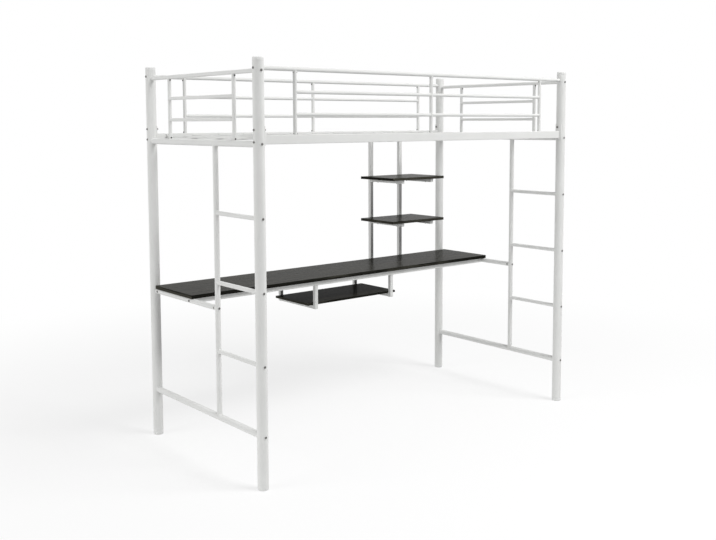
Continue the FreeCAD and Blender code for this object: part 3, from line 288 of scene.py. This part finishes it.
def weld(name, seams):
    """One piece of weld beads along seams, each a line of points that is closed or not."""
    points, edges = [], []
    for line, closed in seams:
        first = len(points)
        points += line
        edges += [(first + k, first + k + 1) for k in range(len(line) - 1)]
        if closed:
            edges.append((len(points) - 1, first))
    path = bpy.data.meshes.new(name)
    path.from_pydata(points, edges, [])
    welds = grown(name, path, weld_tree, Bead_radius=bead_radius, Ripple_length=ripple_length,
                  Ripple_share=ripple_share, Finish=powder_coat)
    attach(welds, "root")


ladder_seams = []
for end in ("left", "right"):
    stile, stile_half = middle_and_half(f"ladder_stile_{end}")
    for number in rung_numbers:
        rung, rung_half = middle_and_half(f"rung_{end}_{number}")
        spot = (stile.x, stile.y, rung.z)
        ladder_seams.append(ring_seam(spot, (0, -1, 0), (0, 0, 1), rung_half.x, stile_half.x))
    for name, up in ((f"bottom_rail_{end}", 1), (f"end_bed_rail_{end}", -1)):
        rail, rail_half = middle_and_half(name)
        spot = (stile.x, stile.y, rail.z)
        ladder_seams.append(ring_seam(spot, (0, 0, up), (0, 1, 0), stile_half.x, rail_half.x))
weld("ladder_welds", ladder_seams)

# Side rails: two rectangular steel tubes carry the bed. A curved saddle plate, welded to each end, hugs the
# post, and two bolts through the post and the plate hold it.
rail_tall, rail_wide, rail_corner = 40, 20, 3
rail_middle_z = 1534
plate_thick = 3
dress(powder_coat, "side_rail_front", "side_rail_back")


def rounded(width, height, corner, steps=5):
    """A rectangle with round corners about the origin, as points in mm that run round once."""
    line = []
    for number, (across, up) in enumerate(((1, 1), (-1, 1), (-1, -1), (1, -1))):
        for k in range(steps + 1):
            angle = math.pi / 2 * (number + k / steps)
            line.append((across * (width / 2 - corner) + corner * math.cos(angle),
                         up * (height / 2 - corner) + corner * math.sin(angle)))
    return line


rail_seams = []
for name in posts:
    post, post_half = middle_and_half(name)
    inward = -math.copysign(1, post.x)
    saddle_radius = post_half.x + plate_thick
    line = []
    for across, up in rounded(rail_wide, rail_tall, rail_corner):
        reach = math.sqrt(saddle_radius ** 2 - across ** 2)
        line.append(Vector((post.x + inward * reach, post.y + across, rail_middle_z + up)) * MM)
    rail_seams.append((line, True))
weld("side_rail_welds", rail_seams)

# Guards: a thin round rail runs between the posts on every side, and panels of round uprights and bars fill
# the space under it. The bars are welded between the uprights, which slip over pegs on the rails.
bar_radius = 8
side_bar_heights = (1740, 1642)
end_bar_heights = (1725, 1622)
dress(powder_coat, "guard_top_rail_front", "guard_top_rail_back", "guard_panel_front", "guard_panel_back")
dress(powder_coat, "end_guard_left", "end_guard_right")
guard_seams = []
for side in ("front", "back"):
    panel, panel_half = middle_and_half(f"guard_panel_{side}")
    upright_radius = panel_half.y
    reach = panel_half.x - upright_radius
    for z in side_bar_heights:
        for x, out in ((-reach, 1), (0, -1), (0, 1), (reach, -1)):
            spot = (x, panel.y, z)
            guard_seams.append(ring_seam(spot, (out, 0, 0), (0, 0, 1), bar_radius, upright_radius))
for end in ("left", "right"):
    panel, panel_half = middle_and_half(f"end_guard_{end}")
    upright_radius = panel_half.x
    reach = panel_half.y - upright_radius
    for z in end_bar_heights:
        for y, out in ((-reach, 1), (reach, -1)):
            spot = (panel.x, y, z)
            guard_seams.append(ring_seam(spot, (0, out, 0), (0, 0, 1), bar_radius, upright_radius))
weld("guard_welds", guard_seams)

# Slats: flat steel tubes lie across the bed on small angle seats, which are welded to the inner face of the
# side rails with a bead down each edge.
slat_count = 13
seat_half = 15
bead_inset = 2
dress(powder_coat, "slats", "slat_seats")
seats, seats_half = middle_and_half("slat_seats")
row_half = seats_half.x - seat_half
bead_half = seats_half.z - bead_inset
seat_seams = []
for number in range(slat_count):
    x = 2 * row_half * number / (slat_count - 1) - row_half
    for y in (-seats_half.y, seats_half.y):
        for edge in (-seat_half, seat_half):
            line = [Vector((x + edge, y, z)) * MM for z in (seats.z - bead_half, seats.z + bead_half)]
            seat_seams.append((line, False))
weld("slat_seat_welds", seat_seams)

# Desk frame: a round bar at each end runs from the ladder stile to the back post, and two square tubes bolt
# between the bars to carry the desk top.
dress(powder_coat, "desk_end_bar_left", "desk_end_bar_right", "desk_front_rail", "desk_back_rail")

# Boards: desk top, two shelves and keyboard tray are cut from particle board wrapped in a printed foil, a
# black brown wood with its grain along the bed. The foil is satin, duller on the tray, with fine pores
# pressed in. Screws hold the boards from below.
wood_black = (0.0142, 0.0139, 0.0118, 1)
wood_brown = (0.0600, 0.0585, 0.0485, 1)
foil_sheen = (0.98, 1.0, 0.80, 1)
fibre_dark = (0.60, 0.59, 0.57, 1)
fibre_pale = (1.0, 0.99, 0.97, 1)
streak_scale, ring_scale = (0.6, 7, 7), (0.9, 9, 9)
fibre_scale, pore_scale = (7, 420, 420), (45, 900, 900)
ring_share = 0.28
fibre_share = 0.85
end_facing = 0.6


def wood_foil(name, shine, dull):
    """The printed foil: shine is how much light it mirrors, and dull how far the mirror is blurred."""
    finish, tree, shader, place = start_finish(name)
    facing = put(tree, "ShaderNodeSeparateXYZ", {0: tree.nodes["Texture Coordinate"].outputs["Normal"]})
    on_end = sums(tree, "GREATER_THAN", sums(tree, "ABSOLUTE", facing.outputs["X"]), end_facing)
    turned_place = put(tree, "ShaderNodeMapping", {"Vector": place, "Rotation": (0, 0, math.pi / 2)})
    banded = put(tree, "ShaderNodeMix", {"Factor": on_end, 4: place, 5: turned_place.outputs["Vector"]},
                 data_type="VECTOR").outputs[1]

    def along_grain(scale):
        """The place on a board, drawn out along the bed, or along the edge on the end bands."""
        return put(tree, "ShaderNodeMapping", {"Vector": banded, "Scale": scale}).outputs["Vector"]

    streaks = put(tree, "ShaderNodeTexNoise",
                  {"Vector": along_grain(streak_scale), "Scale": 1.0, "Detail": 8.0, "Roughness": 0.70,
                   "Distortion": 0.9}).outputs["Fac"]
    rings = put(tree, "ShaderNodeTexWave",
                {"Vector": along_grain(ring_scale), "Scale": 1.6, "Distortion": 7.0, "Detail": 4.0,
                 "Detail Scale": 1.3, "Detail Roughness": 0.6}, bands_direction="Y").outputs["Fac"]
    figure = sums(tree, "MULTIPLY_ADD", rings, ring_share, sums(tree, "MULTIPLY", streaks, 1 - ring_share))
    fibres = put(tree, "ShaderNodeTexNoise",
                 {"Vector": along_grain(fibre_scale), "Scale": 1.0, "Detail": 4.0,
                  "Roughness": 0.6}).outputs["Fac"]
    pores = put(tree, "ShaderNodeTexNoise", {"Vector": along_grain(pore_scale), "Scale": 1.0, "Detail": 1.0})
    pits = put(tree, "ShaderNodeMapRange",
               {"Value": pores.outputs["Fac"], "From Min": 0.30, "From Max": 0.42})
    body = two_tone(tree, figure, wood_black, wood_brown, low=0.42, high=0.64)
    lines = two_tone(tree, fibres, fibre_dark, fibre_pale, low=0.35, high=0.62)
    ink = put(tree, "ShaderNodeMix", {"Factor": fibre_share, 6: body, 7: lines},
              data_type="RGBA", blend_type="MULTIPLY")
    relief = sums(tree, "MULTIPLY", fibres, pits.outputs["Result"])
    emboss = put(tree, "ShaderNodeBump", {"Height": relief, "Strength": 0.22, "Distance": 0.25 * MM})
    tree.links.new(ink.outputs[2], shader.inputs["Base Color"])
    tree.links.new(spread(tree, figure, *dull), shader.inputs["Roughness"])
    shader.inputs["Specular IOR Level"].default_value = shine
    shader.inputs["Specular Tint"].default_value = foil_sheen
    tree.links.new(emboss.outputs["Normal"], shader.inputs["Normal"])
    return finish


satin_foil = wood_foil("black_brown_wood_foil", shine=0.0066, dull=(0.20, 0.36))
dull_foil = wood_foil("dull_wood_foil", shine=0.0026, dull=(0.24, 0.40))
dress(satin_foil, "desk_top", "shelf_lower", "shelf_upper")
dress(dull_foil, "keyboard_tray")

# Shelf uprights: two square steel tubes stand between the desk's back rail and the back side rail, with a
# square arm welded under each shelf. White plastic plugs close the open tube ends.
arm_half = 10
arm_corner = 2
dress(powder_coat, "shelf_upright_left", "shelf_upright_right")
dress(cap_plastic, "square_tube_plugs")


def under_seam(place_of, half, corner, top_gap=2.2, steps=4):
    """An open seam down the sides and along the underside of a square tube; place_of puts it in space."""
    top = half - top_gap
    line = [(-half, top), (-half, corner - half)]
    for start, shift in ((math.pi, corner - half), (math.pi * 3 / 2, half - corner)):
        for k in range(1, steps + 1):
            angle = start + math.pi / 2 * k / steps
            line.append((shift + corner * math.cos(angle), corner - half + corner * math.sin(angle)))
    line += [(half, corner - half), (half, top)]
    return [Vector(place_of(across, up)) * MM for across, up in line], False


arm_seams = []
for side in ("left", "right"):
    upright, upright_half = middle_and_half(f"shelf_upright_{side}")
    upright_face = upright.y + upright_half.y - 2 * upright_half.x
    for name in ("shelf_lower", "shelf_upper"):
        shelf, shelf_half = middle_and_half(name)
        arm_z = shelf.z - shelf_half.z - arm_half
        arm_seams.append(under_seam(lambda across, up: (upright.x + across, upright_face, arm_z + up),
                                    arm_half, arm_corner))
weld("shelf_arm_welds", arm_seams)

# Tray hangers: two U shapes of square steel tube hang under the desk rails, each with a bar welded between
# its legs. The keyboard tray lies on the bars between the legs.
dress(powder_coat, "tray_hanger_left", "tray_hanger_right")
hanger_seams = []
for side in ("left", "right"):
    hanger, hanger_half = middle_and_half(f"tray_hanger_{side}")
    leg_face = hanger_half.y - 2 * arm_half
    bar_z = hanger.z - hanger_half.z + arm_half
    for y in (hanger.y - leg_face, hanger.y + leg_face):
        hanger_seams.append(under_seam(lambda across, up: (hanger.x + across, y, bar_z + up),
                                       arm_half, arm_corner))
weld("tray_hanger_welds", hanger_seams)

# Fasteners: round-headed socket bolts hold the frame, and small cross-head screws the guards, boards and
# slats. Bolts, nuts, pegs and threaded plugs are dark zinc plated steel. The screws are blacked in hot oil.
zinc_dark = (0.13, 0.127, 0.124, 1)
zinc_pale = (0.26, 0.254, 0.248, 1)
oil_dark = (0.014, 0.014, 0.014, 1)
oil_pale = (0.040, 0.039, 0.038, 1)
bolts = ("post_bolts", "saddle_bolts", "stile_bolts", "desk_rail_bolts", "upright_bolts", "hanger_bolts")
screws = ("guard_screws", "board_screws", "slat_screws")
bolt_head_tall, bolt_shank = 3.5, 6
screw_head_tall, screw_shank = 2.5, 4
head_sides, shank_sides = 24, 16
cross_width = 0.26


def plated(name, dark, pale, metal):
    """A plated steel, cloudy between two tones, with fine tool marks."""
    finish, tree, shader, place = start_finish(name)
    cloud = put(tree, "ShaderNodeTexNoise", {"Vector": place, "Scale": 420.0, "Detail": 4.0}).outputs["Fac"]
    scuff = put(tree, "ShaderNodeTexNoise", {"Vector": place, "Scale": 1800.0, "Detail": 2.0}).outputs["Fac"]
    tooling = put(tree, "ShaderNodeBump", {"Height": scuff, "Strength": 0.15, "Distance": 0.1 * MM})
    tree.links.new(two_tone(tree, cloud, dark, pale), shader.inputs["Base Color"])
    tree.links.new(spread(tree, cloud, 0.28, 0.45), shader.inputs["Roughness"])
    tree.links.new(tooling.outputs["Normal"], shader.inputs["Normal"])
    shader.inputs["Metallic"].default_value = metal
    return finish


dark_zinc = plated("dark_zinc_plate", zinc_dark, zinc_pale, metal=0.85)
black_oil = plated("oil_blacked_steel", oil_dark, oil_pale, metal=0.3)
dress(dark_zinc, "hex_nuts", "guard_pegs", "barrel_nuts", "round_tube_plugs", "threaded_square_plugs")


def hexagon(angle):
    """How far a hexagon of flats 1 from its middle reaches."""
    return 1 / math.cos((angle + math.pi / 6) % (math.pi / 3) - math.pi / 6)


def cross(angle, hair=1e-6):
    """How far a cross with arms 1 long reaches."""
    across, up = abs(math.cos(angle)) + hair, abs(math.sin(angle)) + hair
    return max(min(1 / across, cross_width / up), min(cross_width / across, 1 / up))


bolt_head = (
    (0, 1.3), (2, 1.5, hexagon), (2, 3.35, hexagon), *arc((2.55, 0.4), 2.95, 3.1, 90, 0, 6),
    (5.35, 0), (0, 0),
)
screw_head = (
    (0, 1.0), (1.3, 1.2, cross), (1.75, 2.45, cross), *arc((2.3, 0.25), 1.45, 2.25, 90, 0, 6),
    (3.6, 0), (0, 0),
)
screw_tree, given, result = start_tree(
    "fastener_on_a_spot", Head="Object", Shank_width="Float", Shank_sides="Int", Seed="Int",
    Finish="Material")
out = put(screw_tree, "GeometryNodeInputNamedAttribute", {"Name": "out"}, data_type="FLOAT_VECTOR").outputs[0]
length = put(screw_tree, "GeometryNodeInputNamedAttribute", {"Name": "length"}, data_type="FLOAT").outputs[0]
aim = put(screw_tree, "FunctionNodeAlignRotationToVector", {"Vector": out}, axis="Z").outputs["Rotation"]
turn = put(screw_tree, "FunctionNodeRandomValue", {"Max": math.pi, "Seed": given["Seed"]}, data_type="FLOAT")
spin = put(screw_tree, "ShaderNodeCombineXYZ", {"Z": turn.outputs["Value"]}).outputs["Vector"]
twist = put(screw_tree, "FunctionNodeRotateRotation", {"Rotation": aim, "Rotate By": spin},
            rotation_space="LOCAL").outputs["Rotation"]
head = put(screw_tree, "GeometryNodeObjectInfo", {"Object": given["Head"]}).outputs["Geometry"]
heads = put(screw_tree, "GeometryNodeInstanceOnPoints",
            {"Points": given["Geometry"], "Instance": head, "Rotation": twist})
rod_radius = sums(screw_tree, "DIVIDE", given["Shank width"], 2.0)
rod = put(screw_tree, "GeometryNodeMeshCylinder",
          {"Vertices": given["Shank sides"], "Radius": rod_radius, "Depth": 1.0}).outputs["Mesh"]
rod = put(screw_tree, "GeometryNodeTransform",
          {"Geometry": rod, "Translation": (0, 0, -0.5)}).outputs["Geometry"]
reach = put(screw_tree, "ShaderNodeCombineXYZ", {"X": 1.0, "Y": 1.0, "Z": length}).outputs["Vector"]
shanks = put(screw_tree, "GeometryNodeInstanceOnPoints",
             {"Points": given["Geometry"], "Instance": rod, "Rotation": twist, "Scale": reach})
both = put(screw_tree, "GeometryNodeJoinGeometry", {"Geometry": heads.outputs["Instances"]})
screw_tree.links.new(shanks.outputs["Instances"], both.inputs["Geometry"])
end_tree(screw_tree, both.outputs["Geometry"], given["Finish"], result)


def solids_of(node):
    """The corner points of each separate solid in a CAD node."""
    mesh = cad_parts[node].data
    number = {}
    own = [number.setdefault(tuple(round(c, 5) for c in v.co), len(number)) for v in mesh.vertices]
    leader = list(range(len(number)))

    def lead(k):
        """The point that stands for all points joined to this one."""
        while leader[k] != k:
            leader[k] = leader[leader[k]]
            k = leader[k]
        return k

    for face in mesh.polygons:
        for corner in face.vertices[1:]:
            leader[lead(own[corner])] = lead(own[face.vertices[0]])
    solids = {}
    for point, k in number.items():
        solids.setdefault(lead(k), []).append(Vector(point))
    return list(solids.values())


def fasteners(name, nodes, profile, head_tall, shank_width, seed, finish, slack=0.5):
    """Heads and shanks for every solid of some CAD nodes, each on the solid's own line; sizes in mm."""
    spots, outs, lengths = [], [], []
    for points in (solid for node in nodes for solid in solids_of(node)):
        low = Vector([min(p[k] for p in points) for k in range(3)])
        high = Vector([max(p[k] for p in points) for k in range(3)])
        line = max(range(3), key=lambda k: high[k] - low[k])
        middle = (low + high) / 2

        def wide_at(end):
            """How far the solid reaches from its line near one end: more at the head."""
            near = [p for p in points if abs(p[line] - end) < (head_tall + slack) * MM]
            return max((p - middle)[k] for p in near for k in range(3) if k != line)

        top = high[line] if wide_at(high[line]) > wide_at(low[line]) else low[line]
        out = Vector([math.copysign(1, top - middle[line]) if k == line else 0 for k in range(3)])
        seat = middle.copy()
        seat[line] = top - out[line] * head_tall * MM
        spots.append(seat)
        outs.extend(out)
        lengths.append((high - low)[line] - head_tall * MM)
    cloud = bpy.data.meshes.new(name)
    cloud.from_pydata(spots, [], [])
    cloud.attributes.new("out", "FLOAT_VECTOR", "POINT").data.foreach_set("vector", outs)
    cloud.attributes.new("length", "FLOAT", "POINT").data.foreach_set("value", lengths)
    work = bmesh.new()
    turned(work, profile, head_sides)
    master = piece_of(f"{name}_head", work, finish)
    made = grown(name, cloud, screw_tree, crease=35, Head=master, Shank_width=shank_width * MM,
                 Shank_sides=shank_sides, Seed=seed, Finish=finish)
    bpy.data.objects.remove(master)
    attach(made, "root")
    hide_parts(*nodes)


fasteners("socket_bolts", bolts, bolt_head, bolt_head_tall, bolt_shank, seed=3, finish=dark_zinc)
fasteners("cross_screws", screws, screw_head, screw_head_tall, screw_shank, seed=5, finish=black_oil)

# Floor: a plain pale sheet that runs far past the bed. It takes the bed's shadow near by and fades to clean
# white further off, where it throws less light back on the steel.
floor_half = 40
floor_drop = 0.3 * MM
floor_seen = (0.95, 0.95, 0.95, 1)
floor_near = (0.80, 0.80, 0.80, 1)
floor_far = (0.50, 0.50, 0.50, 1)
near_glow, far_glow = 0.74, 1.0
fade_start, fade_end = 1.6, 4.0


def rays_that_see(tree):
    """One for rays from the camera, a mirror or a glass, otherwise nought."""
    path = put(tree, "ShaderNodeLightPath").outputs
    seen = sums(tree, "MAXIMUM", path["Is Camera Ray"], path["Is Glossy Ray"])
    return sums(tree, "MAXIMUM", seen, path["Is Transmission Ray"])


studio_floor = bpy.data.materials.new("pale_studio_floor")
studio_floor.use_nodes = True
tree = studio_floor.node_tree
tree.nodes.clear()
spot = put(tree, "ShaderNodeTexCoord").outputs["Object"]
reach = put(tree, "ShaderNodeVectorMath", {0: spot}, operation="LENGTH").outputs["Value"]
fade = put(tree, "ShaderNodeMapRange",
           {"Value": reach, "From Min": fade_start, "From Max": fade_end,
            "To Min": near_glow, "To Max": far_glow},
           interpolation_type="SMOOTHSTEP").outputs["Result"]
sweep = two_tone(tree, fade, floor_near, floor_far, near_glow, far_glow)
matt = put(tree, "ShaderNodeBsdfDiffuse", {"Color": sweep}).outputs["BSDF"]
pale = put(tree, "ShaderNodeBsdfDiffuse", {"Color": floor_seen}).outputs["BSDF"]
glow = put(tree, "ShaderNodeEmission", {"Strength": 1.0}).outputs["Emission"]
white = put(tree, "ShaderNodeMixShader", {"Fac": fade, 1: pale, 2: glow}).outputs["Shader"]
mixed = put(tree, "ShaderNodeMixShader", {"Fac": rays_that_see(tree), 1: matt, 2: white}).outputs["Shader"]
put(tree, "ShaderNodeOutputMaterial", {"Surface": mixed})
work = bmesh.new()
bmesh.ops.create_grid(work, x_segments=1, y_segments=1, size=floor_half)
bmesh.ops.translate(work, vec=(0, 0, -floor_drop), verts=work.verts)
floor = piece_of("floor", work, studio_floor)

# Studio light: an even pale room, one soft lamp high in front at the right and a wide soft wall of light far
# off at the left. Gloss shows no lamps, and what looks at the room sees clean white.
room_level = 0.27
lamps = (
    ("front_lamp", (2.6, -5.2, 7.4), (0, 0, 1.2), 4, 670),
    ("left_lamp", (-13.0, 1.6, 3.8), (0, 0, 1.0), 8, 900),
)
world = bpy.data.worlds.new("pale_room")
scene.world = world
world.use_nodes = True
tree = world.node_tree
tree.nodes.clear()
soft = put(tree, "ShaderNodeBackground",
           {"Color": (1, 1, 1, 1), "Strength": room_level}).outputs["Background"]
white = put(tree, "ShaderNodeBackground", {"Color": (1, 1, 1, 1), "Strength": 1.0}).outputs["Background"]
mixed = put(tree, "ShaderNodeMixShader", {"Fac": rays_that_see(tree), 1: soft, 2: white}).outputs["Shader"]
put(tree, "ShaderNodeOutputWorld", {"Surface": mixed})
for name, spot, target, size, power in lamps:
    light = bpy.data.lights.new(name, "AREA")
    light.size = size
    light.energy = power
    lamp = bpy.data.objects.new(name, light)
    lamp.location = spot
    lamp.visible_glossy = False
    lamp.rotation_euler = (Vector(target) - Vector(spot)).to_track_quat("-Z", "Y").to_euler()
    scene.collection.objects.link(lamp)
scene.view_settings.view_transform = "Standard"

# Camera: where the photograph was taken from, in front of the left end of the bed and below the top of the
# posts. The lens is moved down a little, which keeps the posts nearly upright in the picture.
image_wide = 716
focal_pixels = 929.5
camera_spot = Vector((-3.2347, -3.7953, 1.6083))
yaw, pitch, roll = (math.radians(angle) for angle in (39.828, 5.135, -0.182))
lens = bpy.data.cameras.new("photo_camera")
lens.sensor_width = 36
lens.lens = focal_pixels * lens.sensor_width / image_wide
lens.shift_y = -0.09
ahead = Vector((math.sin(yaw) * math.cos(pitch), math.cos(yaw) * math.cos(pitch), -math.sin(pitch)))
level = Vector((math.cos(yaw), -math.sin(yaw), 0))
above = level.cross(ahead)
right = level * math.cos(roll) + above * math.sin(roll)
top = above * math.cos(roll) - level * math.sin(roll)
camera = bpy.data.objects.new("photo_camera", lens)
camera.matrix_world = Matrix.Translation(camera_spot) @ Matrix((right, top, -ahead)).transposed().to_4x4()
scene.collection.objects.link(camera)
scene.camera = camera
